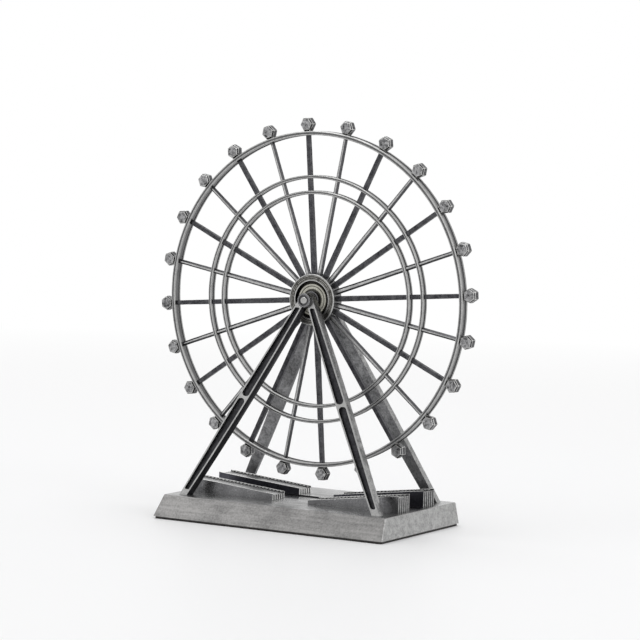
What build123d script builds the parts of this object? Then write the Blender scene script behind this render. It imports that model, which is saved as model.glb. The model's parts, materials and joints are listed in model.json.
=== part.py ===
"""Desk model of a giant observation wheel: a plinth, two leaning A-frames and a wheel spun by hand.

Millimetres, +Z up. The origin is the middle of the underside. X runs along the plinth and the front faces -Y.
"""
import os
from math import cos, radians, sin

from build123d import *

os.makedirs("parts", exist_ok=True)

# Plinth, closed underneath by a sheet plate and a thin pad
base_length = 97.0
base_depth = 60.0
pad_thickness = 0.4
plate_thickness = 0.5
plate_inset = 0.5
plate_corner_radius = 1.0
plinth_top = 8.6
deck_half_length = 47.0
deck_front = -25.15
deck_rear = 29.7
wall = 2.0
plinth_edge_radius = 0.5
plinth_corner_radius = 0.9
rib_thickness = 1.4
rib_x = 24.0
plate_post_radius = 2.4
plate_post_x = 30.0
plate_post_y = (-18.0, 22.5)

# Wheel: the axle runs along Y
wheel_y = 2.25
axle_height = 82.7
bay_count = 24
first_pod_angle = 94.58
rim_inner_radius = 60.6
rim_outer_radius = 62.1
rim_width = 4.2
rim_outside_groove = 1.9
rim_inside_groove = 2.4
middle_ring_inner = 44.7
middle_ring_outer = 45.9
inner_ring_inner = 38.9
inner_ring_outer = 40.2
ring_width = 3.0
ring_groove_width = 1.1
groove_depth = 0.2
rim_face_groove = 0.62
ring_face_groove = 0.4
face_groove_depth = 0.12
edge_chamfer = 0.22
spoke_root_width = 2.05
spoke_tip_width = 1.6
spoke_depth = 1.6
bar_spare = 0.5
flat_spoke_chamfer = 0.15
bevelled_spoke_chamfer = 0.6
tenon_radius = 0.5
tenon_length = 1.0

# Pods: a chunky hexagon bevelled towards its front and back, on a saddle, with a stem through the rim
pod_root_radius = 62.25
pod_half_height = 2.4
pod_width = 3.8
pod_band_width = 2.2
pod_face_ratio = 0.82
pod_edge_radius = 0.12
saddle_thickness = 0.4
saddle_length = 2.9
saddle_width = 2.4
saddle_corner = 0.4
stem_radius = 0.6

# Hub and axle
drum_radius = 9.5
drum_half_width = 2.95
drum_web_half_width = 1.25
drum_lip_width = 0.4
drum_face_sink = 0.25
drum_chamfer = 0.12
drum_recess_radius = 6.9
drum_bore = 2.6
bush_lip_outer = 5.95
bush_lip_inner = 3.9
bush_front = 2.45
bush_floor = 1.8
bush_gap = 0.05
bush_chamfer = 0.18
spacer_radius = 3.2
spacer_chamfer = 0.2
thrust_gap = 0.1
axle_radius = 1.4
axle_tip = 9.15
axle_tip_dome = 0.35
running_clearance = 0.05

# A-frames, front and rear alike
foot_front = -21.4
apex_front = -4.9
leg_thickness = 3.0
bevel_depth = 1.2
leg_draft = 0.38
foot_inner_x = 39.45
foot_outer_x = 42.4
knee_height = 46.0
knee_inner_x = 18.45
knee_outer_x = 23.1
foot_overrun = 2.0
boss_tangent_angle = 28.0
border_width = 0.55
slot_depth = 1.0
slot_foot_height = 10.75
slot_top_height = 79.9
slot_end_radius = 0.5
slot_knee_radius = 1.3
web_width = 0.8
boss_radius = 2.66
boss_front = 8.85
boss_back = 3.75
apex_clearance = 9.0
boss_chamfer = 0.18
boss_nose_radius = 2.42
boss_ring_places = (5.2, 6.6, 7.75)
boss_ring_width = 0.25
nut_pocket_radius = 2.0
nut_pocket_depth = 0.75
nut_thickness = 0.4
nut_radius = 1.95
nut_slit_width = 0.3
nut_slit_length = 0.5
nut_slit_middle = 1.5
peg_radius = 1.3
peg_length = 3.6

# Terraces: four ramps with a rail along each side, two on each side of the wheel's path
terrace_back = -3.1
left_front = -12.0
left_outer_x = -43.3
left_inner_x = -7.8
left_outer_top = 13.45
left_inner_top = 10.4
right_front = -11.4
right_outer_x = 44.8
right_inner_x = 7.0
right_outer_top = 14.3
right_inner_top = 9.4
rail_thickness = 0.35
rail_height = 0.7
rail_edge_radius = 0.15
tooth_pitch = 1.58
tooth_width = 0.78
tooth_height = 0.42
tooth_reach = 1.15
flute_width = 0.62
flute_depth = 0.45
channel_depth = 0.5
terrace_peg_radius = 1.0
terrace_peg_x = (16.0, 35.0)
terrace_peg_y = -7.25

# Screws
frame_screw_radius = 0.7
frame_screw_head_radius = 1.6
frame_screw_head_height = 1.0
frame_screw_head_round = 0.4
plate_screw_radius = 0.8
plate_screw_head_radius = 1.55
plate_screw_head_height = 0.4
screw_clearance = 0.02
hole_allowance = 0.2
driver_slot_length = 1.6
driver_slot_width = 0.3
driver_slot_depth = 0.35

# Worked out from the dimensions above
plate_top = pad_thickness + plate_thickness
deck_underside = plinth_top - wall
deck_middle_y = (deck_front + deck_rear) / 2
bay_angle = 360 / bay_count
lean = Vector(0, apex_front - foot_front, axle_height - plinth_top)
frame_plane = Plane(
    origin=(0, foot_front, plinth_top),
    x_dir=(1, 0, 0),
    z_dir=Vector(1, 0, 0).cross(lean.normalized()),
)
lean_ratio = lean.length / lean.Z
wheel_plane = Plane(origin=(0, wheel_y, axle_height), x_dir=(1, 0, 0), z_dir=(0, -1, 0))
wheel_mirror = Plane.XZ.offset(-wheel_y)
foot_depth = leg_thickness * lean_ratio
foot_x = (foot_inner_x + foot_outer_x) / 2
foot_y = foot_front + foot_depth / 2
peg_bottom = plinth_top - peg_length
boss_post_bottom = peg_bottom - wall
plate_screw_tip = deck_underside - 2
frame_screw_tip = plinth_top - 0.6
post_spare = 1.0
far = 40.0


def save(shape, node):
    export_step(shape, f"parts/{node}.step")


def upright(radius, bottom, top):
    """A vertical cylinder between two heights."""
    return Pos(0, 0, bottom) * Cylinder(radius, top - bottom, align=(Align.CENTER, Align.CENTER, Align.MIN))


def turned(points):
    """A solid of revolution about the wheel's axle, from (radius, distance in front of the wheel) points."""
    return wheel_plane * revolve(Plane.XZ * make_face(Polyline(*points, close=True)), Axis.Z)


def to_rear(shape):
    """The matching rear piece, mirrored in the wheel's plane."""
    return mirror(shape, about=wheel_mirror)


def foot_places():
    for x in (-foot_x, foot_x):
        for y in (foot_y, 2 * wheel_y - foot_y):
            yield Pos(x, y, 0)


def plate_screw_places():
    for x in (-plate_post_x, plate_post_x):
        for y in plate_post_y:
            yield Pos(x, y, 0)


def terrace_peg_places():
    for x in terrace_peg_x:
        for side in (-1, 1):
            for y in (terrace_peg_y, 2 * wheel_y - terrace_peg_y):
                yield Pos(side * x, y, 0)


def tapered_block(inset, bottom, top):
    """The plinth's outline between two heights, set in from its sloping sides."""
    lower = Rectangle(base_length - 2 * inset, base_depth - 2 * inset)
    upper = Rectangle(2 * (deck_half_length - inset), deck_rear - deck_front - 2 * inset)
    return loft([Pos(0, 0, bottom) * lower, Pos(0, deck_middle_y, top) * upper])


def wheel_channel():
    """The shallow sunk strip of the deck below the wheel, between the two rows of ramps."""
    length = right_outer_x - left_outer_x
    strip = Box(length, 2 * (wheel_y - terrace_back), 2 * channel_depth)
    return Pos((left_outer_x + right_outer_x) / 2, wheel_y, plinth_top) * strip


def base_plinth():
    outside = tapered_block(0, plate_top, plinth_top)
    corners = outside.edges().filter_by(lambda edge: abs(edge.tangent_at(0.5).Z) > 0.5)
    outside = fillet(corners, plinth_corner_radius)
    outside = fillet(outside.faces().sort_by(Axis.Z)[-1].edges(), plinth_edge_radius)
    plinth = outside - tapered_block(wall, plate_top, deck_underside)
    for x in (-rib_x, 0, rib_x):
        rib_height = deck_underside - boss_post_bottom
        rib_span = deck_rear - deck_front - 2 * wall
        rib = Box(rib_thickness, rib_span, rib_height)
        plinth += Pos(x, deck_middle_y, deck_underside - rib_height / 2) * rib
    for place in foot_places():
        plinth += place * upright(2 * peg_radius, boss_post_bottom, deck_underside)
        plinth -= place * upright(peg_radius, peg_bottom, plinth_top)
        plinth -= place * upright(frame_screw_radius + hole_allowance, boss_post_bottom, peg_bottom)
    for place in plate_screw_places():
        plinth += place * upright(plate_post_radius, plate_top, deck_underside)
        hole_radius = plate_screw_radius + screw_clearance
        plinth -= place * upright(hole_radius, plate_top, plate_screw_tip + post_spare)
    for place in terrace_peg_places():
        plinth -= place * upright(terrace_peg_radius, deck_underside, plinth_top)
    return plinth - wheel_channel()


def screw_head_cone(extra):
    """A countersunk head that fills the plate's hole."""
    cone = Cone(
        plate_screw_head_radius + extra,
        plate_screw_radius + extra,
        plate_screw_head_height,
        align=(Align.CENTER, Align.CENTER, Align.MIN),
    )
    return Pos(0, 0, pad_thickness) * cone


def sheet(inset, bottom, thickness):
    outline = RectangleRounded(base_length - 2 * inset, base_depth - 2 * inset, plate_corner_radius)
    return Pos(0, 0, bottom) * extrude(outline, thickness)


def bottom_plate():
    plate = sheet(plate_inset, pad_thickness, plate_thickness)
    for place in plate_screw_places():
        plate -= place * screw_head_cone(screw_clearance)
        plate -= place * upright(plate_screw_radius + screw_clearance, pad_thickness, plate_top)
    return plate


def driver_cross(height):
    """The cross that a driver fits, cut upwards from a screw head's underside."""
    slot = Box(driver_slot_length, driver_slot_width, 2 * driver_slot_depth)
    return Pos(0, 0, height) * (slot + Rot(0, 0, 90) * slot)


def plate_screws():
    shank = upright(plate_screw_radius, pad_thickness + plate_screw_head_height, plate_screw_tip)
    screw = screw_head_cone(0) + shank - driver_cross(pad_thickness)
    return Compound(children=[place * screw for place in plate_screw_places()])


def frame_screws():
    head_bottom = boss_post_bottom - frame_screw_head_height
    head = upright(frame_screw_head_radius, head_bottom, boss_post_bottom)
    head = fillet(head.edges().sort_by(Axis.Z)[0], frame_screw_head_round)
    screw = head + upright(frame_screw_radius, boss_post_bottom, frame_screw_tip) - driver_cross(head_bottom)
    return Compound(children=[place * screw for place in foot_places()])


def along_leg(x, height):
    """A point of the leaning frame's outer face, from its real height."""
    return (x, (height - plinth_top) * lean_ratio)


def leg_outline():
    """One leg on the outer face: both edges bow out to the knee, and the outer one meets the boss."""
    slope = (foot_outer_x - knee_outer_x) / (knee_height - plinth_top)
    sideways = cos(radians(boss_tangent_angle)) * boss_radius
    upward = sin(radians(boss_tangent_angle)) * boss_radius
    below = plinth_top - foot_overrun
    inner_foot = along_leg(foot_inner_x + slope * foot_overrun, below)
    outer_foot = along_leg(foot_outer_x + slope * foot_overrun, below)
    inner_edge = ThreePointArc(inner_foot, along_leg(knee_inner_x, knee_height), along_leg(0, axle_height))
    top_edge = Line(along_leg(0, axle_height), along_leg(sideways, axle_height + upward))
    outer_edge = ThreePointArc(
        along_leg(sideways, axle_height + upward), along_leg(knee_outer_x, knee_height), outer_foot
    )
    foot_edge = Line(outer_foot, inner_foot)
    return make_face([inner_edge, top_edge, outer_edge, foot_edge])


def band_across_leg(low, high):
    """A level strip that crosses the leg between two real heights."""
    bottom = (low - plinth_top) * lean_ratio
    top = (high - plinth_top) * lean_ratio
    return Pos(foot_x / 2, (bottom + top) / 2) * Rectangle(2 * foot_x, top - bottom)


def leg_slots():
    """Two long pockets that follow the leg's edges, with a web at the knee between them."""
    inside = offset(leg_outline(), -border_width)
    lower = inside & band_across_leg(slot_foot_height, knee_height - web_width / 2)
    upper = inside & band_across_leg(knee_height + web_width / 2, slot_top_height)
    by_height = lower.vertices().sort_by(Axis.Y)
    lower = fillet(by_height[-2:], slot_knee_radius)
    lower = fillet(lower.vertices().sort_by(Axis.Y)[:2], slot_end_radius)
    by_height = upper.vertices().sort_by(Axis.Y)
    upper = fillet(by_height[:2], slot_knee_radius)
    upper = fillet(upper.vertices().sort_by(Axis.Y)[-2:], slot_end_radius)
    return lower + upper


def leg():
    face = leg_outline()
    widened = offset(face, leg_draft, kind=Kind.INTERSECTION)
    body = loft([face, Pos(0, 0, -bevel_depth) * widened], ruled=True)
    body += Pos(0, 0, -leg_thickness) * extrude(widened, leg_thickness - bevel_depth)
    body -= extrude(leg_slots(), -slot_depth)
    return frame_plane * body


def apex_boss():
    """The round nose where the legs meet, with three turned lines around it."""
    outline = [(0, boss_back), (boss_radius, boss_back)]
    for place in boss_ring_places:
        outline += [
            (boss_radius, place),
            (boss_nose_radius, place),
            (boss_nose_radius, place + boss_ring_width),
            (boss_radius, place + boss_ring_width),
        ]
    shoulder = boss_front - boss_chamfer
    outline += [(boss_radius, shoulder), (boss_radius - boss_chamfer, boss_front), (0, boss_front)]
    return turned(outline)


def front_a_frame():
    right_leg = leg()
    frame = right_leg + mirror(right_leg, about=Plane.YZ)
    below_deck = Box(base_length, base_length, far, align=(Align.CENTER, Align.CENTER, Align.MAX))
    frame -= Pos(0, 0, plinth_top) * below_deck
    behind_boss = Box(*3 * [apex_clearance], align=(Align.CENTER, Align.MIN, Align.CENTER))
    frame -= Pos(0, wheel_y - boss_back, axle_height) * behind_boss
    frame += apex_boss()
    frame -= wheel_plane * upright(axle_radius, 0, far)
    frame -= wheel_plane * upright(nut_pocket_radius, boss_front - nut_pocket_depth, far)
    screw_hole = upright(frame_screw_radius + screw_clearance, peg_bottom, frame_screw_tip + hole_allowance)
    for x in (-foot_x, foot_x):
        frame += Pos(x, foot_y, 0) * upright(peg_radius, peg_bottom, plinth_top)
        frame -= Pos(x, foot_y, 0) * screw_hole
    return frame


def axle_pin():
    tip = axle_tip
    shoulder = axle_tip - axle_tip_dome
    flat = axle_radius - axle_tip_dome
    return turned([
        (0, -tip),
        (flat, -tip),
        (axle_radius, -shoulder),
        (axle_radius, shoulder),
        (flat, tip),
        (0, tip),
    ])


def push_nut():
    """A thin ring with three slits that grips the axle inside the boss's pocket."""
    floor = boss_front - nut_pocket_depth
    bore = axle_radius + screw_clearance
    front = floor + nut_thickness
    nut = turned([(bore, floor), (nut_radius, floor), (nut_radius, front), (bore, front)])
    slit = Pos(nut_slit_middle, 0, front) * Box(nut_slit_length, nut_slit_width, 2 * nut_thickness)
    for turn in (0, 120, 240):
        nut -= wheel_plane * Rot(0, 0, turn) * slit
    return nut


def front_spacer():
    inner_end = bush_floor + thrust_gap
    return turned([
        (axle_radius, inner_end),
        (spacer_radius, inner_end),
        (spacer_radius, boss_back - spacer_chamfer),
        (spacer_radius - spacer_chamfer, boss_back),
        (axle_radius, boss_back),
    ])


def front_bush():
    """A flanged plastic bearing: a sleeve inside the drum and a raised ring around its dished front."""
    bore = axle_radius + running_clearance
    return turned([
        (bore, bush_gap),
        (drum_bore, bush_gap),
        (drum_bore, drum_web_half_width),
        (bush_lip_outer, drum_web_half_width),
        (bush_lip_outer, bush_front - bush_chamfer),
        (bush_lip_outer - bush_chamfer, bush_front),
        (bush_lip_inner + bush_chamfer, bush_front),
        (bush_lip_inner, bush_front - bush_chamfer),
        (bush_lip_inner, bush_floor),
        (bore, bush_floor),
    ])


def bay_angles():
    for bay in range(bay_count):
        yield first_pod_angle - bay * bay_angle


def hub_drum():
    """A spool with a dished face between two lips on each side, drilled for the spokes' tenons."""
    front_half = [
        (drum_radius, 0),
        (drum_radius, drum_half_width - drum_chamfer),
        (drum_radius - drum_chamfer, drum_half_width),
        (drum_radius - drum_lip_width, drum_half_width),
        (drum_radius - drum_lip_width - drum_chamfer, drum_half_width - drum_face_sink),
        (drum_recess_radius + drum_lip_width + drum_chamfer, drum_half_width - drum_face_sink),
        (drum_recess_radius + drum_lip_width, drum_half_width),
        (drum_recess_radius + drum_chamfer, drum_half_width),
        (drum_recess_radius, drum_half_width - drum_chamfer),
        (drum_recess_radius, drum_web_half_width),
        (drum_bore, drum_web_half_width),
        (drum_bore, 0),
    ]
    half = turned(front_half)
    drum = half + to_rear(half)
    socket = Rot(0, 90, 0) * upright(tenon_radius, drum_radius - tenon_length, drum_radius + tenon_length)
    for angle in bay_angles():
        drum -= wheel_plane * Rot(0, 0, angle) * socket
    return drum


def spoke(chamfer_size):
    """A tapering bar along +X of the wheel's plane, shaped to the drum and the rim, with a root tenon."""
    def section(width):
        bar = Rectangle(width, spoke_depth)
        return chamfer(bar.vertices(), chamfer_size)

    root = Plane.YZ.offset(drum_radius - bar_spare) * section(spoke_root_width)
    tip = Plane.YZ.offset(rim_inner_radius + bar_spare) * section(spoke_tip_width)
    bar = loft([root, tip]) - Cylinder(drum_radius, 4 * spoke_depth)
    bar &= Cylinder(rim_inner_radius + groove_depth, 4 * spoke_depth)
    bar += Rot(0, 90, 0) * upright(tenon_radius, drum_radius - tenon_length, drum_radius + 1)
    return bar


def spoke_pair(bar, bay):
    """Two like bars in line across the hub."""
    angle = first_pod_angle - bay * bay_angle
    return Compound(children=[wheel_plane * Rot(0, 0, angle + turn) * bar for turn in (0, 180)])


def band(inner, outer, width, inside_groove, outside_groove, face_groove):
    """A hoop with chamfered edges and a shallow groove around each of its four sides."""
    half = width / 2
    inside = inside_groove / 2
    outside = outside_groove / 2
    middle = (inner + outer) / 2
    face = face_groove / 2
    front_half = [
        (outer - groove_depth, outside - groove_depth),
        (outer, outside),
        (outer, half - edge_chamfer),
        (outer - edge_chamfer, half),
        (middle + face, half),
        (middle + face - face_groove_depth, half - face_groove_depth),
        (middle - face + face_groove_depth, half - face_groove_depth),
        (middle - face, half),
        (inner + edge_chamfer, half),
        (inner, half - edge_chamfer),
        (inner, inside),
        (inner + groove_depth, inside - groove_depth),
    ]
    return turned(front_half + [(radius, -place) for radius, place in reversed(front_half)])


def outer_rim():
    grooves = (rim_inside_groove, rim_outside_groove, rim_face_groove)
    rim = band(rim_inner_radius, rim_outer_radius, rim_width, *grooves)
    hole = Rot(0, 90, 0) * upright(stem_radius, rim_inner_radius - 1, rim_outer_radius + 1)
    for angle in bay_angles():
        rim -= wheel_plane * Rot(0, 0, angle) * hole
    return rim


def ring_around_spokes(inner, outer, bars):
    """A hoop that the spokes pass through."""
    ring = band(inner, outer, ring_width, ring_groove_width, ring_groove_width, ring_face_groove)
    return ring - bars


def pod():
    """One passenger capsule with its saddle and stem, along +X of the wheel's plane."""
    def hexagon(ratio, place):
        corner_radius = ratio * pod_half_height / cos(radians(30))
        middle = pod_root_radius + pod_half_height
        return Pos(middle, 0, place) * RegularPolygon(corner_radius, 6, rotation=30)

    bevel = loft([hexagon(1, pod_band_width / 2), hexagon(pod_face_ratio, pod_width / 2)])
    capsule = Pos(0, 0, -pod_band_width / 2) * extrude(hexagon(1, 0), pod_band_width)
    capsule += bevel + mirror(bevel, about=Plane.XY)
    facet_edges = [edge for edge in capsule.edges() if edge.center().X > pod_root_radius + pod_edge_radius]
    capsule = fillet(facet_edges, pod_edge_radius)
    saddle = Box(saddle_thickness, saddle_length, saddle_width, align=(Align.MIN, Align.CENTER, Align.CENTER))
    saddle = chamfer(saddle.edges().filter_by(Axis.X), saddle_corner)
    stem = Rot(0, 90, 0) * upright(stem_radius, rim_inner_radius, rim_outer_radius + groove_depth)
    stem -= Cylinder(rim_inner_radius + groove_depth, rim_width)
    return capsule + Pos(rim_outer_radius, 0, 0) * saddle + stem


def ramp_height(x, span):
    """The height of a ramp's top at x."""
    inner_x, outer_x, inner_top, outer_top = span
    return inner_top + (outer_top - inner_top) * (x - inner_x) / (outer_x - inner_x)


def side_view(span, extra):
    """A ramp's side view with its sloping top raised by extra."""
    inner_x, outer_x, inner_top, outer_top = span
    points = [
        (inner_x, plinth_top),
        (inner_x, inner_top + extra),
        (outer_x, outer_top + extra),
        (outer_x, plinth_top),
    ]
    return make_face(Polyline(*points, close=True))


def across(view, front, back):
    """A side view carried from one distance along Y to another."""
    return extrude(Plane.XZ.offset(-front) * view, -(back - front))


def comb(span):
    """The side view of a row of small square teeth on the ramp's top."""
    inner_x, outer_x = span[:2]
    direction = 1 if outer_x > inner_x else -1
    rows = []
    for tooth in range(int(abs(outer_x - inner_x) / tooth_pitch)):
        start = inner_x + direction * (tooth + 0.5) * tooth_pitch
        end = start + direction * tooth_width
        low = min(ramp_height(start, span), ramp_height(end, span)) - tooth_height
        points = [
            (start, low),
            (start, ramp_height(start, span) + tooth_height),
            (end, ramp_height(end, span) + tooth_height),
            (end, low),
        ]
        rows.append(make_face(Polyline(*points, close=True)))
    return rows


def rail(front, span):
    """A thin wall along one side of a ramp, rounded along its top."""
    standing = across(side_view(span, rail_height), front, front + rail_thickness)
    middle = standing.center().Z
    top_edges = [edge for edge in standing.edges() if edge.length > far / 2 and edge.center().Z > middle]
    return fillet(top_edges, rail_edge_radius)


def front_terrace(front, *span):
    """A ramp with a toothed rail along both sides, fluted ends and two pegs in the deck."""
    ramp = across(side_view(span, 0), front, terrace_back)
    ramp += rail(front, span) + rail(terrace_back - rail_thickness, span)
    for tooth in comb(span):
        ramp += across(tooth, front, front + tooth_reach)
        ramp += across(tooth, terrace_back - tooth_reach, terrace_back)
    flutes = int((terrace_back - front) / tooth_pitch)
    middle = (front + terrace_back) / 2
    for x in span[:2]:
        for flute in range(flutes):
            groove_y = middle + (flute - (flutes - 1) / 2) * tooth_pitch
            ramp -= Pos(x, groove_y, plinth_top + far / 2) * Box(2 * flute_depth, flute_width, far)
    side = 1 if span[1] > 0 else -1
    for x in terrace_peg_x:
        ramp += Pos(side * x, terrace_peg_y, 0) * upright(terrace_peg_radius, deck_underside, plinth_top)
    return ramp


save(base_plinth(), "base_plinth")
save(bottom_plate(), "bottom_plate")
save(sheet(plate_inset, 0, pad_thickness), "base_pad")
save(plate_screws(), "plate_screws")
save(frame_screws(), "frame_screws")

front_frame = front_a_frame()
save(front_frame, "front_a_frame")
save(to_rear(front_frame), "rear_a_frame")

left_terrace = front_terrace(left_front, left_inner_x, left_outer_x, left_inner_top, left_outer_top)
right_terrace = front_terrace(right_front, right_inner_x, right_outer_x, right_inner_top, right_outer_top)
save(left_terrace, "front_left_terrace")
save(to_rear(left_terrace), "rear_left_terrace")
save(right_terrace, "front_right_terrace")
save(to_rear(right_terrace), "rear_right_terrace")

nut = push_nut()
save(axle_pin(), "axle_pin")
save(Compound(children=[nut, to_rear(nut)]), "axle_push_nuts")
save(front_spacer(), "front_spacer")
save(to_rear(front_spacer()), "rear_spacer")

save(hub_drum(), "hub_drum")
save(front_bush(), "front_bush")
save(to_rear(front_bush()), "rear_bush")

flat_bar = spoke(flat_spoke_chamfer)
bevelled_bar = spoke(bevelled_spoke_chamfer)
all_bars = []
for bay in range(bay_count // 2):
    flat = bay % 2 == 0
    pair = spoke_pair(flat_bar if flat else bevelled_bar, bay)
    kind = "flat" if flat else "bevelled"
    save(pair, f"{kind}_spoke_pair_{bay // 2 + 1}")
    all_bars += list(pair.solids())

save(outer_rim(), "outer_rim")
save(ring_around_spokes(middle_ring_inner, middle_ring_outer, all_bars), "middle_ring")
save(ring_around_spokes(inner_ring_inner, inner_ring_outer, all_bars), "inner_ring")

capsule_with_stem = pod()
for number, angle in enumerate(bay_angles(), start=1):
    save(wheel_plane * Rot(0, 0, angle) * capsule_with_stem, f"pod_{number:02d}")
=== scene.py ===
"""Desk model of a giant observation wheel in antique pewter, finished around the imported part."""
import json
import math
import random

import bmesh
import bpy
from mathutils import Matrix, Vector


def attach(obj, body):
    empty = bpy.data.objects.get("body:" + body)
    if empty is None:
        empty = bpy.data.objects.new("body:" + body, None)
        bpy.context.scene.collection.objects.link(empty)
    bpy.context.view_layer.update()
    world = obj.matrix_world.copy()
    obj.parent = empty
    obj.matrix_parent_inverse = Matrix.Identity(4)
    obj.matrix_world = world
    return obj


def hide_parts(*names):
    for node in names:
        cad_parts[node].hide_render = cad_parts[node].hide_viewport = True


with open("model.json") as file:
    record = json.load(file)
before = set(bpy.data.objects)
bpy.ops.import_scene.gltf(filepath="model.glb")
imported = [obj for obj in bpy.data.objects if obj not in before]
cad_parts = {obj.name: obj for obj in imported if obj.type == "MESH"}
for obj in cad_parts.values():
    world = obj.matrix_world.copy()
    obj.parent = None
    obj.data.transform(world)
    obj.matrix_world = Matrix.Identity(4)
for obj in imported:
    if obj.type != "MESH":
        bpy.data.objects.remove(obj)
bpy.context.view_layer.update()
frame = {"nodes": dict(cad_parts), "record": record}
nodes = frame["nodes"]
scene = bpy.context.scene
mm = 0.001

# The camera looks from the front right, a little above the deck, through a long lens.
# Its place comes from the corners of the plinth and the ring of pods.
view_azimuth = math.radians(29.95)
view_elevation = math.radians(4.49)
view_roll = math.radians(1.62)
view_distance = 1079.16 * mm
view_target = Vector((3.45, 0, 75.38)) * mm
focal_pixels = 2927.7
image_pixels = 640
toward_camera = Vector((
    math.sin(view_azimuth) * math.cos(view_elevation),
    -math.cos(view_azimuth) * math.cos(view_elevation),
    math.sin(view_elevation),
))
level_right = (-toward_camera).cross(Vector((0, 0, 1))).normalized()
level_up = level_right.cross(-toward_camera)
camera_right = level_right * math.cos(view_roll) + level_up * math.sin(view_roll)
camera_up = level_up * math.cos(view_roll) - level_right * math.sin(view_roll)
lens = bpy.data.cameras.new("camera")
lens.lens = focal_pixels / image_pixels * lens.sensor_width
lens.clip_start = 0.05
lens.clip_end = 60
camera = bpy.data.objects.new("camera", lens)
camera_turn = Matrix((camera_right, camera_up, toward_camera)).transposed().to_4x4()
camera.matrix_world = Matrix.Translation(view_target + toward_camera * view_distance) @ camera_turn
scene.collection.objects.link(camera)
scene.camera = camera
scene.view_settings.view_transform = "Standard"


# The table top: a matt white board that keeps the model's shadow and runs out to plain white.
# Further out than white_from it is seen and mirrored as the white room around it.
table_half = 20.0
white_from = 0.16
white_at = 0.85
board_colour = (0.9, 0.9, 0.905)
board_roughness = 0.5
board_shine = 0.3


class Finish:
    """A material with its shader, and short ways to add the nodes that vary it."""

    def __init__(self, name):
        self.material = bpy.data.materials.new(name)
        self.material.use_nodes = True
        self.tree = self.material.node_tree
        self.tree.nodes.clear()
        self.out = self.tree.nodes.new("ShaderNodeOutputMaterial")
        self.shader = self.tree.nodes.new("ShaderNodeBsdfPrincipled")
        self.link(self.shader.outputs["BSDF"], self.out.inputs["Surface"])
        self.place = self.node("ShaderNodeTexCoord").outputs["Object"]

    def link(self, source, socket):
        self.tree.links.new(source, socket)

    def node(self, kind, **settings):
        made = self.tree.nodes.new(kind)
        for key, value in settings.items():
            setattr(made, key, value)
        return made

    def put(self, socket, value):
        if isinstance(value, bpy.types.NodeSocket):
            self.link(value, socket)
        elif isinstance(value, tuple):
            socket.default_value = (*value, 1) if len(socket.default_value) == 4 else value
        else:
            socket.default_value = value

    def math(self, operation, *values):
        made = self.node("ShaderNodeMath", operation=operation)
        for socket, value in zip(made.inputs, values):
            self.put(socket, value)
        return made.outputs[0]

    def noise(self, scale, detail, stretch=None):
        """Cloudy noise; with stretch it runs in lines."""
        made = self.node("ShaderNodeTexNoise")
        made.inputs["Scale"].default_value = scale
        made.inputs["Detail"].default_value = detail
        source = self.place
        if stretch:
            mapping = self.node("ShaderNodeMapping")
            mapping.inputs["Scale"].default_value = stretch
            self.link(self.place, mapping.inputs["Vector"])
            source = mapping.outputs["Vector"]
        self.link(source, made.inputs["Vector"])
        return made.outputs["Fac"]

    def spread(self, source, low, high, to_low=0.0, to_high=1.0):
        made = self.node("ShaderNodeMapRange")
        for socket, value in zip(made.inputs, (source, low, high, to_low, to_high)):
            self.put(socket, value)
        return made.outputs["Result"]

    def mix(self, amount, first, second):
        made = self.node("ShaderNodeMix", data_type="RGBA")
        self.put(made.inputs["Factor"], amount)
        self.put(made.inputs["A"], first)
        self.put(made.inputs["B"], second)
        return made.outputs["Result"]

    def bump(self, height, distance, strength=1.0, under=None):
        made = self.node("ShaderNodeBump")
        made.inputs["Strength"].default_value = strength
        made.inputs["Distance"].default_value = distance
        self.put(made.inputs["Height"], height)
        if under:
            self.link(under, made.inputs["Normal"])
        return made.outputs["Normal"]

    def open_room(self, reach):
        """1 where a spot is open and less in a hollow, within reach on the same piece."""
        made = self.node("ShaderNodeAmbientOcclusion", only_local=True, samples=6)
        made.inputs["Distance"].default_value = reach
        return made.outputs["AO"]


table_mesh = bpy.data.meshes.new("table_top")
table_corners = [(-1, -1), (1, -1), (1, 1), (-1, 1)]
table_mesh.from_pydata([(x * table_half, y * table_half, 0) for x, y in table_corners], [], [(0, 1, 2, 3)])
table_top = bpy.data.objects.new("table_top", table_mesh)
scene.collection.objects.link(table_top)
board = Finish("table_board")
board.put(board.shader.inputs["Base Color"], board_colour)
board.put(board.shader.inputs["Roughness"], board_roughness)
board.put(board.shader.inputs["Specular IOR Level"], board_shine)
distance_out = board.node("ShaderNodeVectorMath", operation="LENGTH")
board.link(board.place, distance_out.inputs[0])
run_out = board.spread(distance_out.outputs["Value"], white_from, white_at)
path = board.node("ShaderNodeLightPath").outputs
seen = board.math("MAXIMUM", path["Is Camera Ray"], path["Is Glossy Ray"])
seen = board.math("MAXIMUM", seen, path["Is Transmission Ray"])
plain_white = board.node("ShaderNodeEmission")
plain_white.inputs["Strength"].default_value = 1.0
joined = board.node("ShaderNodeMixShader")
board.link(board.math("MULTIPLY", run_out, seen), joined.inputs["Fac"])
board.link(board.shader.outputs["BSDF"], joined.inputs[1])
board.link(plain_white.outputs["Emission"], joined.inputs[2])
board.link(joined.outputs["Shader"], board.out.inputs["Surface"])
table_mesh.materials.append(board.material)

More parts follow.
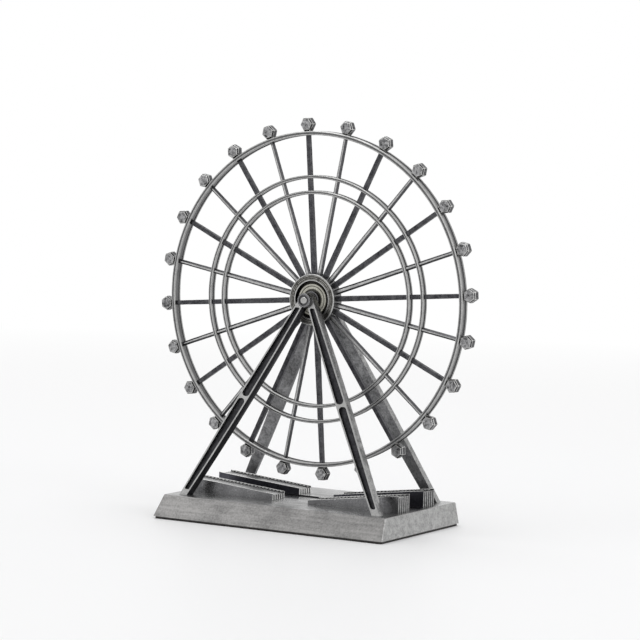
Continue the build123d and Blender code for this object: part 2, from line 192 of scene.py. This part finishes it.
# The room: white where it is seen or mirrored, and a little dimmer where it lights the model.
# Three soft panels stand above it, to its right and to its left.
room_light = 0.72
panel_aim = Vector((0, 0, 0.06))
world = bpy.data.worlds.new("white_room")
world.use_nodes = True
scene.world = world
room = world.node_tree
room.nodes.clear()
room_out = room.nodes.new("ShaderNodeOutputWorld")
room_shown = room.nodes.new("ShaderNodeBackground")
room_lit = room.nodes.new("ShaderNodeBackground")
room_mix = room.nodes.new("ShaderNodeMixShader")
room_path = room.nodes.new("ShaderNodeLightPath").outputs
seen_by = room_path["Is Camera Ray"]
for ray in ("Is Glossy Ray", "Is Transmission Ray"):
    either = room.nodes.new("ShaderNodeMath")
    either.operation = "MAXIMUM"
    room.links.new(seen_by, either.inputs[0])
    room.links.new(room_path[ray], either.inputs[1])
    seen_by = either.outputs[0]
room_shown.inputs["Color"].default_value = (1, 1, 1, 1)
room_shown.inputs["Strength"].default_value = 1.0
room_lit.inputs["Color"].default_value = (1, 1, 1, 1)
room_lit.inputs["Strength"].default_value = room_light
room.links.new(seen_by, room_mix.inputs["Fac"])
room.links.new(room_lit.outputs[0], room_mix.inputs[1])
room.links.new(room_shown.outputs[0], room_mix.inputs[2])
room.links.new(room_mix.outputs[0], room_out.inputs["Surface"])


def soft_panel(name, place, width, height, watts):
    """A rectangular light that faces the lower part of the wheel."""
    data = bpy.data.lights.new(name, "AREA")
    data.shape = "RECTANGLE"
    data.size = width
    data.size_y = height
    data.energy = watts
    panel = bpy.data.objects.new(name, data)
    panel.location = place
    panel.rotation_mode = "QUATERNION"
    panel.rotation_quaternion = (panel_aim - panel.location).to_track_quat("-Z", "Y")
    scene.collection.objects.link(panel)


soft_panel("top_panel", (-0.15, 0.1, 0.9), 0.7, 0.7, 2.6)
soft_panel("right_panel", (0.95, -0.1, 0.5), 0.5, 0.8, 1.8)
soft_panel("left_panel", (-0.8, -0.7, 0.5), 0.4, 0.7, 0.9)


# Pad and bottom plate: a thin black foam pad under a lacquered sheet that closes the hollow plinth.
# Four small countersunk screws with crossed slots hold the plate.
cloud_detail = 6
cloud_range = (0.36, 0.68)
speck_scale = 1500
speck_range = (0.38, 0.7)
fine_detail = 3
stain_share = 0.6
stroke_detail = 5
grain_range = (0.3, 0.7)
stroke_swing = 0.35
hollow_range = (0.9, 0.3)
bright_gloss = 0.05
stained_gloss = 0.12
speck_depth = 0.02
speck_strength = 0.6
stroke_depth = 0.025
stroke_strength = 0.7
plain_cloud_scale = 200
plain_cloud_detail = 5
plain_cloud_range = (0.35, 0.65)
plain_gloss_swing = 0.07
weld_distance = 0.001
whole_face_angle = 0.7
edge_segments = 2
normal_weight = 60
sharp_from = 28


def pewter(name, body, patina, roughness, mottle, hollow_reach, lines=None, cloud=110):
    """Cast pewter: clouds and specks of dark patina over the rubbed metal, darkest in its hollows as patina
    with painted shade.
    """
    made = Finish(name)
    clouds = made.spread(made.noise(cloud, cloud_detail), *cloud_range)
    specks = made.spread(made.noise(speck_scale, fine_detail), *speck_range)
    clouded = made.math("MULTIPLY", clouds, stain_share)
    stain = made.math("ADD", clouded, made.math("MULTIPLY", specks, stain_share))
    if lines:
        strokes = made.noise(1, stroke_detail, lines)
        stain = made.math("ADD", stain, made.spread(strokes, *grain_range, -stroke_swing, stroke_swing))
    aged = made.mix(made.math("MULTIPLY", stain, mottle), body, patina)
    # Within hollow_reach the colour darkens towards the patina in hollows and creases: patina and painted
    # shade together.
    if hollow_reach:
        hollow = made.spread(made.open_room(hollow_reach * mm), *hollow_range)
        aged = made.mix(hollow, aged, patina)
    gloss = made.spread(stain, 0.0, 1.0, roughness - bright_gloss, roughness + stained_gloss)
    made.put(made.shader.inputs["Base Color"], aged)
    made.put(made.shader.inputs["Metallic"], 1.0)
    made.put(made.shader.inputs["Roughness"], gloss)
    normal = made.bump(specks, speck_depth * mm, speck_strength)
    if lines:
        normal = made.bump(strokes, stroke_depth * mm, stroke_strength, normal)
    made.put(made.shader.inputs["Normal"], normal)
    return made.material


def plain_finish(name, light, dark, roughness, metallic, grain_scale, grain_depth):
    """Lacquer, foam, steel or plastic: two close tones, a fine grain and uneven gloss."""
    made = Finish(name)
    clouds = made.spread(made.noise(plain_cloud_scale, plain_cloud_detail), *plain_cloud_range)
    grain = made.noise(grain_scale, fine_detail)
    gloss = made.spread(grain, *grain_range, roughness - plain_gloss_swing, roughness + plain_gloss_swing)
    made.put(made.shader.inputs["Base Color"], made.mix(clouds, light, dark))
    made.put(made.shader.inputs["Metallic"], metallic)
    made.put(made.shader.inputs["Roughness"], gloss)
    made.put(made.shader.inputs["Normal"], made.bump(grain, grain_depth * mm))
    return made.material


def dress(node_name, material, bevel=0.08):
    """Gives a CAD node its finish and softly broken edges."""
    node = nodes[node_name]
    node.data.materials.clear()
    node.data.materials.append(material)
    break_edges(node, bevel)


def break_edges(piece, width, edge_slot=-1):
    """Joins the corners, makes flat faces whole and rounds the sharp edges by a width in millimetres."""
    weld = piece.modifiers.new("weld", "WELD")
    weld.merge_threshold = weld_distance * mm
    whole = piece.modifiers.new("whole_faces", "DECIMATE")
    whole.decimate_type = "DISSOLVE"
    whole.angle_limit = math.radians(whole_face_angle)
    round_edges(piece, width, sharp_from, edge_slot)
    piece.modifiers.new("normals", "WEIGHTED_NORMAL").weight = normal_weight


def round_edges(piece, width, angle, edge_slot=-1):
    """Rounds the edges that are sharper than an angle in degrees, with a finish of their own if given."""
    bevel = piece.modifiers.new("broken_edges", "BEVEL")
    bevel.width = width * mm
    bevel.segments = edge_segments
    bevel.limit_method = "ANGLE"
    bevel.angle_limit = math.radians(angle)
    bevel.material = edge_slot


foam = plain_finish("pad_foam", (0.022, 0.019, 0.017), (0.012, 0.010, 0.009), 0.85, 0.0, 2500, 0.06)
lacquer = plain_finish("plate_lacquer", (0.035, 0.031, 0.028), (0.02, 0.018, 0.017), 0.45, 0.0, 900, 0.01)
screw_steel = plain_finish("screw_steel", (0.42, 0.42, 0.41), (0.25, 0.25, 0.25), 0.34, 1.0, 1800, 0.01)
dress("base_pad", foam, 0.1)
dress("bottom_plate", lacquer)
dress("plate_screws", screw_steel, 0.04)


# Plinth: one cast block, brushed lengthways on its sloping front and back, with grainier ends.
# Its edges are softly rubbed, and a shallow sunk strip runs along the deck below the wheel. The strip's
# steps are near-black as painted shade, and the deck darkens by its hollows as patina with painted shade.
join_distance = 0.002


def recast(node_name, *materials):
    """A new piece in a CAD part's shape, with whole faces that can each take their own finish."""
    shape = bmesh.new()
    shape.from_mesh(nodes[node_name].data)
    bmesh.ops.remove_doubles(shape, verts=shape.verts, dist=join_distance * mm)
    flat = math.radians(whole_face_angle)
    bmesh.ops.dissolve_limit(shape, angle_limit=flat, verts=shape.verts, edges=shape.edges)
    return new_piece(node_name + "_cast", shape, frame_body(node_name), node_name, materials)


def frame_body(node_name):
    """The name of the moving body that a CAD node belongs to."""
    bodies = frame["record"]["behaviour"]["bodies"]
    return next(body for body, members in bodies.items() if node_name in members)


def new_piece(name, shape, body, node_name, materials):
    """Makes a mesh into a piece that rides on a body and stands for a CAD node."""
    data = bpy.data.meshes.new(name)
    shape.normal_update()
    shape.to_mesh(data)
    shape.free()
    if "custom_normal" in data.attributes:
        data.attributes.remove(data.attributes["custom_normal"])
    for edge in data.edges:
        edge.use_edge_sharp = False
    for face in data.polygons:
        face.use_smooth = True
        face.material_index = 0
    data.materials.clear()
    for material in materials:
        data.materials.append(material)
    piece = bpy.data.objects.new(name, data)
    scene.collection.objects.link(piece)
    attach(piece, body)
    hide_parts(node_name)
    return piece


def finish_faces(piece, choose):
    """Picks a material slot for each face from its normal and its middle, in millimetres."""
    for face in piece.data.polygons:
        face.material_index = choose(face.normal, face.center / mm)


edge_bright = pewter("rubbed_edge", (0.72, 0.72, 0.70), (0.40, 0.40, 0.39), 0.26, 0.35, 0)
edge_soft = pewter("softly_rubbed_edge", (0.46, 0.46, 0.455), (0.2, 0.2, 0.2), 0.3, 0.45, 0)
plinth_side = pewter("plinth_brushed", (0.31, 0.305, 0.30), (0.10, 0.10, 0.10), 0.36, 0.6, 0, (50, 50, 1100))
plinth_end = pewter("plinth_end", (0.45, 0.45, 0.445), (0.13, 0.13, 0.13), 0.34, 0.6, 0, None, 420)
plinth_deck = pewter("plinth_deck", (0.42, 0.42, 0.42), (0.10, 0.10, 0.10), 0.27, 0.6, 2.0, (60, 900, 60))
# The sunk strip's steps: near-black as painted shade.
channel_step_painted_shade = pewter("channel_step_painted_shade", (0.04, 0.04, 0.045), (0.02, 0.02, 0.022), 0.4, 0.5, 0)
plinth = recast("base_plinth", plinth_side, plinth_end, plinth_deck, edge_soft, channel_step_painted_shade)
PLINTH_SIDE, PLINTH_END, DECK, PLINTH_EDGE, STEP = range(5)
channel_half_length = 45.5
channel_y = (-3.5, 8.0)
channel_floor = 8
level_from = 0.95
upright_below = 0.2
end_from = 0.7
plinth_edge = 0.16


def plinth_face(normal, middle):
    """Finish of a plinth face: the deck, the sunk strip's steps, the two ends or the long sides."""
    if normal.z > level_from:
        return DECK
    in_channel = abs(middle.x) < channel_half_length and channel_y[0] < middle.y < channel_y[1]
    if in_channel and middle.z > channel_floor and abs(normal.z) < upright_below:
        return STEP
    return PLINTH_END if abs(normal.x) > end_from else PLINTH_SIDE


finish_faces(plinth, plinth_face)
break_edges(plinth, plinth_edge, PLINTH_EDGE)


# Terraces: four ramps cast apart and pegged to the deck, with a toothed rail along both sides.
# Rails and teeth are rubbed bright with a painted highlight, and the inner-end bars are light as a painted
# highlight. Gaps are black as painted shade; path sides are dark as painted reflection.
ramp_finishes = (
    pewter("ramp_outer_side", (0.25, 0.25, 0.255), (0.06, 0.06, 0.065), 0.26, 0.6, 0, None, 160),
    # Path sides: darkened as painted reflection of the dark ramp faces across the path.
    pewter("ramp_path_side_painted_reflection", (0.10, 0.10, 0.115), (0.035, 0.035, 0.045), 0.3, 0.7, 0, None, 400),
    pewter("ramp_slope", (0.42, 0.42, 0.42), (0.10, 0.10, 0.10), 0.3, 0.5, 0),
    # Rails and teeth tops: rubbed bright, plus a painted highlight.
    pewter("ramp_rail_rubbed_and_highlit", (0.70, 0.70, 0.69), (0.30, 0.30, 0.30), 0.28, 0.4, 0),
    # Gaps between the teeth and flutes of the inner ends: near-black as painted shade.
    pewter("ramp_gap_painted_shade", (0.028, 0.028, 0.032), (0.015, 0.015, 0.017), 0.42, 0.5, 0),
    # Bars of the inner ends: near-white as a painted highlight.
    pewter("ramp_bar_painted_highlight", (0.88, 0.88, 0.87), (0.45, 0.45, 0.45), 0.3, 0.35, 0),
    pewter("ramp_outer_bar", (0.36, 0.36, 0.36), (0.10, 0.10, 0.10), 0.32, 0.8, 0, None, 600),
    pewter("ramp_outer_flute", (0.24, 0.24, 0.245), (0.08, 0.08, 0.08), 0.34, 0.7, 0, None, 600),
)
OUTER_SIDE, PATH_SIDE, SLOPE, RAIL, GAP, BAR, OUTER_BAR, OUTER_FLUTE = range(8)
ramp_spans = {"left": (7.8, 43.3, 10.4, 13.45), "right": (7.0, 44.8, 9.4, 14.3)}
raised_from = 0.12
end_reach = 0.1
flute_reach = 0.6
steep_from = 0.5
rounded_from = 0.1
ramp_edge = 0.06
wheel_y = 2.25


def ramp_face(normal, middle, span):
    """Finish of a ramp face, from its place along the slope and its height above it."""
    inner_x, outer_x, inner_top, outer_top = span
    along = abs(middle.x)
    slope = inner_top + (outer_top - inner_top) * (along - inner_x) / (outer_x - inner_x)
    raised = middle.z - slope > raised_from
    if abs(normal.x) > steep_from:
        if outer_x - along < flute_reach:
            return OUTER_BAR if outer_x - along < end_reach else OUTER_FLUTE
        return BAR if along - inner_x < end_reach else GAP
    if normal.z > steep_from:
        return RAIL if raised else SLOPE
    if min(along - inner_x, outer_x - along) < flute_reach:
        return OUTER_FLUTE if outer_x - along < flute_reach else GAP
    if raised:
        return RAIL if normal.z > rounded_from else GAP
    return OUTER_SIDE if (middle.y - wheel_y) * normal.y > 0 else PATH_SIDE


for row in ("front", "rear"):
    for hand, span in ramp_spans.items():
        ramp = recast(f"{row}_{hand}_terrace", *ramp_finishes, edge_soft)
        finish_faces(ramp, lambda normal, middle: ramp_face(normal, middle, span))
        break_edges(ramp, ramp_edge, len(ramp_finishes))


# A-frames: two leaning pairs of legs, each cast in one piece with the round nose for the axle.
# Slots stay dark and the inner sides are darkened as painted shade; borders, backs and outer sides are
# rubbed. Screwed on from below.
border = pewter("frame_border", (0.40, 0.40, 0.395), (0.10, 0.10, 0.105), 0.3, 0.45, 0)
slot_black = pewter("frame_slot", (0.05, 0.05, 0.054), (0.016, 0.016, 0.018), 0.42, 0.7, 0, None, 400)
# Inner sides of the legs: near-black as painted shade.
inner_side_painted_shade = pewter("frame_inner_side_painted_shade", (0.065, 0.065, 0.07), (0.03, 0.03, 0.033), 0.34, 0.5, 0)
outer_side = pewter("frame_outer_side", (0.40, 0.40, 0.395), (0.09, 0.09, 0.095), 0.3, 0.85, 0, None, 300)
frame_back = pewter("frame_back", (0.34, 0.34, 0.345), (0.09, 0.09, 0.095), 0.34, 0.8, 0, None, 450)
nose = pewter("axle_nose", (0.22, 0.22, 0.225), (0.04, 0.04, 0.042), 0.28, 0.5, 0.6)
frame_finishes = (border, slot_black, inner_side_painted_shade, outer_side, frame_back, nose)
BORDER, SLOT, INNER, OUTER, BACK, NOSE = range(6)
axle_height = 82.7
nose_reach = 2.9
nose_from = 3.7
slot_depth = 1.0
frame_lean = math.radians(12.55)
foot_from_wheel = 23.65
deck_height = 8.6
facing_from = 0.9
sideways_below = 0.15
frame_edge = 0.13


def frame_face(normal, middle, away):
    """Finish of an A-frame face, from its depth below the leaning front of the legs."""
    outward = Vector((0, away * math.cos(frame_lean), math.sin(frame_lean)))
    depth = (middle - Vector((0, wheel_y + away * foot_from_wheel, deck_height))).dot(outward)
    facing = normal.dot(outward)
    if math.hypot(middle.x, middle.z - axle_height) < nose_reach and abs(middle.y - wheel_y) > nose_from:
        return NOSE
    if facing > facing_from:
        return BORDER if depth > -slot_depth / 2 else SLOT
    if facing < -facing_from:
        return BACK
    if abs(facing) < sideways_below and depth > -slot_depth:
        return SLOT
    return OUTER if normal.x * middle.x > 0 else INNER


for row, away in (("front", -1), ("rear", 1)):
    a_frame = recast(f"{row}_a_frame", *frame_finishes, edge_bright)
    finish_faces(a_frame, lambda normal, middle: frame_face(normal, middle, away))
    break_edges(a_frame, frame_edge, len(frame_finishes))
dress("frame_screws", screw_steel, 0.05)

# Axle: a turned steel pin through both noses, with a dark spring nut pressed on at each end.
# A dark pewter spacer on each side keeps the hub between the noses.
pin_steel = plain_finish("pin_steel", (0.42, 0.42, 0.415), (0.26, 0.26, 0.26), 0.27, 1.0, 1500, 0.01)
nut_steel = plain_finish("nut_steel", (0.10, 0.10, 0.105), (0.05, 0.05, 0.055), 0.3, 1.0, 1500, 0.01)
dress("axle_pin", pin_steel, 0.08)
dress("axle_push_nuts", nut_steel, 0.04)
spacer_pewter = pewter("spacer_pewter", (0.16, 0.16, 0.165), (0.05, 0.05, 0.05), 0.28, 0.5, 0)
dress("front_spacer", spacer_pewter, 0.06)
dress("rear_spacer", spacer_pewter, 0.06)


# Hub: a cast drum with fine turned lines between the two lips on each face, dark inside its dish.
# A cream plastic bush with a turned line of its own is pressed into each side.
wheel_centre = Vector((0, wheel_y, axle_height)) * mm
turned_sharp_from = 25
drum_steps = 144
bush_steps = 96


def wheel_point(radius, across, toward_front, angle):
    """A point of the wheel: out along a bay's line, sideways from it, and in front of the wheel's middle."""
    flat_x = radius * math.cos(angle) - across * math.sin(angle)
    flat_z = radius * math.sin(angle) + across * math.cos(angle)
    return wheel_centre + Vector((flat_x, -toward_front, flat_z)) * mm


def turned_piece(node_name, outline, finishes, steps):
    """A closed outline of (radius, place before the wheel's middle, finish) turned about the axle."""
    shape = bmesh.new()
    rings = []
    for step in range(steps):
        angle = step / steps * math.tau
        points = [wheel_point(radius, 0, place, angle) for radius, place, _ in outline]
        rings.append([shape.verts.new(point) for point in points])
    kept = []
    for low, high in zip(rings, rings[1:] + rings[:1]):
        for corner in range(len(outline)):
            after = (corner + 1) % len(outline)
            shape.faces.new((low[corner], low[after], high[after], high[corner]))
            kept.append(outline[corner][2])
    bmesh.ops.recalc_face_normals(shape, faces=shape.faces)
    piece = new_piece(node_name + "_cast", shape, "wheel", node_name, finishes)
    for face, finish in zip(piece.data.polygons, kept):
        face.material_index = finish
    piece.data.set_sharp_from_angle(angle=math.radians(turned_sharp_from))


def both_sides(half):
    """Closes half an outline, from its outside to its inside, with its own mirror image."""
    rear = [(radius, -place, half[index - 1][2]) for index, (radius, place, _) in enumerate(half) if index]
    return half[:-1] + [(*half[-1][:2], half[-2][2])] + rear[-2::-1]


drum_finishes = (
    pewter("drum_skin", (0.20, 0.20, 0.20), (0.05, 0.05, 0.05), 0.32, 0.6, 0),
    pewter("drum_lip", (0.52, 0.52, 0.51), (0.20, 0.20, 0.20), 0.28, 0.5, 0, None, 500),
    pewter("drum_line", (0.035, 0.033, 0.03), (0.02, 0.02, 0.02), 0.4, 0.5, 0),
    pewter("drum_face", (0.34, 0.335, 0.315), (0.035, 0.033, 0.03), 0.3, 0.9, 0, None, 700),
)
SKIN, LIP, LINE, FACE = range(4)
turned_piece("hub_drum", both_sides([
    (9.5, 0, SKIN), (9.5, 2.83, LIP), (9.38, 2.95, LIP), (9.1, 2.95, LINE), (8.98, 2.70, FACE),
    (8.58, 2.70, LINE), (8.52, 2.58, LINE), (8.38, 2.58, LIP), (8.32, 2.70, FACE), (7.96, 2.70, LINE),
    (7.90, 2.58, LINE), (7.76, 2.58, LIP), (7.70, 2.70, FACE), (7.42, 2.70, LIP), (7.3, 2.95, LIP),
    (7.02, 2.95, LINE), (6.9, 2.83, LINE), (6.9, 1.25, LINE), (2.6, 1.25, SKIN), (2.6, 0, SKIN),
]), drum_finishes, drum_steps)
bush_finishes = (
    plain_finish("bush_cream", (0.60, 0.59, 0.51), (0.44, 0.43, 0.37), 0.4, 0.0, 900, 0.02),
    plain_finish("bush_line", (0.10, 0.095, 0.08), (0.05, 0.05, 0.04), 0.5, 0.0, 900, 0.01),
)
CREAM, STAINED = range(2)
bush_outline = (
    (1.45, 0.05, CREAM), (2.6, 0.05, CREAM), (2.6, 1.25, STAINED), (5.95, 1.25, STAINED),
    (5.95, 2.27, STAINED), (5.77, 2.45, CREAM), (5.2, 2.45, STAINED), (5.12, 2.33, STAINED),
    (4.94, 2.33, STAINED), (4.86, 2.45, CREAM), (4.08, 2.45, CREAM), (3.9, 2.27, STAINED),
    (3.9, 1.8, STAINED), (1.45, 1.8, CREAM),
)
turned_piece("front_bush", bush_outline, bush_finishes, bush_steps)
rear_outline = [(radius, -place, finish) for radius, place, finish in bush_outline]
turned_piece("rear_bush", rear_outline, bush_finishes, bush_steps)


# Spokes: twenty-four tapering bars, every second one with wide bevels. Each pair lies across the hub.
# The flat bars are dark as cast skin together with painted shade; the bevelled ones carry a painted
# highlight along the middle and painted shade on their bevels.
bay_angle = math.radians(15)
first_bay = math.radians(94.58)
drum_radius = 9.5
spoke_end_radius = 60.8
spoke_root_width = 2.05
spoke_tip_width = 1.6
spoke_depth = 1.6
spoke_steps = 40
flat_chamfer = 0.15
bevelled_chamfer = 0.6
root_overlap = 0.3
sway_reach = 0.02
ripple_reach = 0.012
spoke_seed = 100
spoke_edge = 0.06
spoke_sharp_from = 25
bar_corners = 8
bevel_corners = (0, 2, 4, 6)
face_corners = (1, 5)
SPOKE_FACE, SPOKE_BEVEL, SPOKE_SIDE = range(3)
# Dark cast skin with painted shade, on flat bars and on all spoke sides.
spoke_skin_and_shade = pewter("spoke_skin_and_painted_shade", (0.10, 0.10, 0.106), (0.022, 0.022, 0.026), 0.36, 0.9, 0, None, 450)
# Middle face of the bevelled bars: light as a painted highlight.
spoke_ridge_painted_highlight = pewter("spoke_ridge_painted_highlight", (0.52, 0.52, 0.515), (0.14, 0.14, 0.145), 0.3, 0.6, 0, None, 300)
# Bevels and chamfers of the spokes: dark as painted shade.
spoke_bevel_painted_shade = pewter("spoke_bevel_painted_shade", (0.12, 0.12, 0.125), (0.05, 0.05, 0.055), 0.32, 0.6, 0)


def spoke_bars(cut, first_angle, chance):
    """Two bars in line across the hub, chamfered by cut, with the slight waviness of a casting."""
    shape = bmesh.new()
    deep = spoke_depth / 2
    for angle in (first_angle, first_angle + math.pi):
        rings = []
        for step in range(spoke_steps + 1):
            share = step / spoke_steps
            radius = drum_radius - root_overlap + share * (spoke_end_radius - drum_radius + root_overlap)
            half = (spoke_root_width + share * (spoke_tip_width - spoke_root_width)) / 2
            outline = [
                (-half, cut - deep), (cut - half, -deep), (half - cut, -deep), (half, cut - deep),
                (half, deep - cut), (half - cut, deep), (cut - half, deep), (-half, deep - cut),
            ]
            sway = chance.uniform(-sway_reach, sway_reach)
            ring = []
            for x, y in outline:
                aside = x + sway + chance.uniform(-ripple_reach, ripple_reach)
                ring.append(shape.verts.new(wheel_point(radius, aside, y, angle)))
            rings.append(ring)
        for low, high in zip(rings, rings[1:]):
            for corner in range(bar_corners):
                after = (corner + 1) % bar_corners
                face = shape.faces.new((low[corner], low[after], high[after], high[corner]))
                face.material_index = corner
        for end in (rings[0][::-1], rings[-1]):
            shape.faces.new(end).material_index = bar_corners
    bmesh.ops.recalc_face_normals(shape, faces=shape.faces)
    return shape


def spoke_piece(kind, number, bay, cut, finishes):
    """A pair of spokes as one piece, with finishes for its front and back, its bevels and its sides."""
    shape = spoke_bars(cut, first_bay - bay * bay_angle, random.Random(spoke_seed + bay))
    kept = [face.material_index for face in shape.faces]
    name = f"{kind}_spoke_pair_{number}"
    piece = new_piece(name + "_cast", shape, "wheel", name, finishes)
    for face, corner in zip(piece.data.polygons, kept):
        if corner in bevel_corners:
            face.material_index = SPOKE_BEVEL
        else:
            face.material_index = SPOKE_FACE if corner in face_corners else SPOKE_SIDE
    round_edges(piece, spoke_edge, spoke_sharp_from)
    piece.modifiers.new("normals", "WEIGHTED_NORMAL").weight = normal_weight


pairs_of_each = 6
flat_finishes = (spoke_skin_and_shade, spoke_bevel_painted_shade, spoke_skin_and_shade)
bevelled_finishes = (spoke_ridge_painted_highlight, spoke_bevel_painted_shade, spoke_skin_and_shade)
for pair in range(pairs_of_each):
    spoke_piece("flat", pair + 1, 2 * pair, flat_chamfer, flat_finishes)
    spoke_piece("bevelled", pair + 1, 2 * pair + 1, bevelled_chamfer, bevelled_finishes)


# Rim and rings: three cast hoops, grooved inside and outside, with their edges rubbed bright.
# The spokes run through the two inner ones and end in the groove of the outer one.
hoop_finishes = (
    pewter("hoop_front", (0.54, 0.54, 0.535), (0.16, 0.16, 0.16), 0.32, 0.55, 0, None, 260),
    pewter("hoop_side", (0.36, 0.36, 0.355), (0.13, 0.13, 0.13), 0.34, 0.5, 0, None, 260),
    pewter("hoop_groove", (0.16, 0.16, 0.162), (0.06, 0.06, 0.06), 0.34, 0.6, 0),
    pewter("hoop_line", (0.05, 0.05, 0.052), (0.025, 0.025, 0.027), 0.38, 0.5, 0),
    edge_soft,
)
HOOP_FRONT, HOOP_SIDE, GROOVE, GROOVE_LINE, HOOP_EDGE = range(5)
hoop_cut = 0.22
hoop_groove_depth = 0.2
hoop_face_depth = 0.12
hoop_steps = 240


def hoop(node_name, inner, outer, width, inside_groove, outside_groove, face_groove):
    """A ring between two radii, grooved inside, outside and along the middle of both faces."""
    half, inside, outside, face = width / 2, inside_groove / 2, outside_groove / 2, face_groove / 2
    cut, deep, sunk, middle = hoop_cut, hoop_groove_depth, hoop_face_depth, (inner + outer) / 2
    turned_piece(node_name, both_sides([
        (outer - deep, 0, GROOVE), (outer - deep, outside - deep, GROOVE_LINE), (outer, outside, HOOP_SIDE),
        (outer, half - cut, HOOP_EDGE), (outer - cut, half, HOOP_FRONT), (middle + face, half, GROOVE_LINE),
        (middle + face - sunk, half - sunk, GROOVE), (middle - face + sunk, half - sunk, GROOVE_LINE),
        (middle - face, half, HOOP_FRONT), (inner + cut, half, HOOP_EDGE), (inner, half - cut, HOOP_SIDE),
        (inner, inside, GROOVE_LINE), (inner + deep, inside - deep, GROOVE), (inner + deep, 0, GROOVE),
    ]), hoop_finishes, hoop_steps)


hoop("outer_rim", 60.6, 62.1, 4.2, 2.4, 1.9, 0.62)
hoop("middle_ring", 44.7, 45.9, 3.0, 1.1, 1.1, 0.4)
hoop("inner_ring", 38.9, 40.2, 3.0, 1.1, 1.1, 0.4)

# Pods: twenty-four hexagonal capsules, bevelled to the front and back, with sunk panels in each facet.
# Each is cast with a saddle that sits on the rim, near-black as painted shade; the side facets are darkened
# as painted shade, and no two are rubbed quite alike.
pod_finishes = (
    pewter("pod_face", (0.42, 0.42, 0.425), (0.02, 0.02, 0.022), 0.3, 0.95, 0, None, 900),
    # Side facets and bevels of the pods: dark as painted shade.
    pewter("pod_side_painted_shade", (0.13, 0.13, 0.135), (0.02, 0.02, 0.022), 0.3, 0.9, 0, None, 900),
    pewter("pod_frame", (0.36, 0.36, 0.36), (0.06, 0.06, 0.062), 0.28, 0.8, 0, None, 900),
    # Saddles: near-black as painted shade.
    pewter("pod_saddle_painted_shade", (0.05, 0.05, 0.053), (0.025, 0.025, 0.027), 0.34, 0.5, 0),
)
POD_FACE, POD_SIDE, POD_FRAME, SADDLE = range(4)
pod_root = 62.25
pod_half_height = 2.4
pod_levels = ((-1.9, 0.82), (-1.1, 1.0), (1.1, 1.0), (1.9, 0.82))
pod_unevenness = 0.05
panel_border = 0.16 * mm
panel_sink = -0.05 * mm
pod_count = 24
pod_seed = 500
pod_corners = 6
corner_angle = 60
half_corner_angle = 30
pod_edge = 0.09
pod_sharp_from = 30
saddle_corners = (
    (1.05, 1.2), (1.45, 0.8), (1.45, -0.8), (1.05, -1.2),
    (-1.05, -1.2), (-1.45, -0.8), (-1.45, 0.8), (-1.05, 1.2),
)
saddle_heights = (62.02, 62.5)


def prism(shape, levels):
    """Closes a stack of like outlines into a solid and returns its faces."""
    sides = []
    for low, high in zip(levels, levels[1:]):
        for corner in range(len(low)):
            after = (corner + 1) % len(low)
            sides.append(shape.faces.new((low[corner], low[after], high[after], high[corner])))
    return [shape.faces.new(levels[0][::-1]), shape.faces.new(levels[-1])] + sides


for number in range(1, pod_count + 1):
    chance = random.Random(pod_seed + number)
    angle = first_bay - (number - 1) * bay_angle
    shape = bmesh.new()
    levels = []
    for place, ratio in pod_levels:
        level = []
        for corner in range(pod_corners):
            turn = math.radians(half_corner_angle + corner_angle * corner)
            reach = ratio * pod_half_height / math.cos(math.radians(half_corner_angle))
            out = pod_root + pod_half_height + reach * math.cos(turn)
            if out > pod_root + pod_half_height:
                out += chance.uniform(-pod_unevenness, pod_unevenness)
            aside = reach * math.sin(turn) + chance.uniform(-pod_unevenness, pod_unevenness)
            level.append(shape.verts.new(wheel_point(out, aside, place, angle)))
        levels.append(level)
    facets = prism(shape, levels)
    bmesh.ops.recalc_face_normals(shape, faces=shape.faces)
    bmesh.ops.inset_individual(shape, faces=facets, thickness=panel_border, depth=panel_sink)
    shape.faces.index_update()
    panels = {face.index: POD_FACE if place < 2 else POD_SIDE for place, face in enumerate(facets)}
    saddle_start = len(shape.faces)
    prism(shape, [
        [shape.verts.new(wheel_point(radius, x, y, angle)) for x, y in saddle_corners]
        for radius in saddle_heights
    ])
    bmesh.ops.recalc_face_normals(shape, faces=shape.faces[saddle_start:])
    node_name = f"pod_{number:02d}"
    pod = new_piece(node_name + "_cast", shape, "wheel", node_name, (*pod_finishes, edge_bright))
    for face in pod.data.polygons:
        face.material_index = SADDLE if face.index >= saddle_start else panels.get(face.index, POD_FRAME)
        face.use_smooth = False
    round_edges(pod, pod_edge, pod_sharp_from, len(pod_finishes))
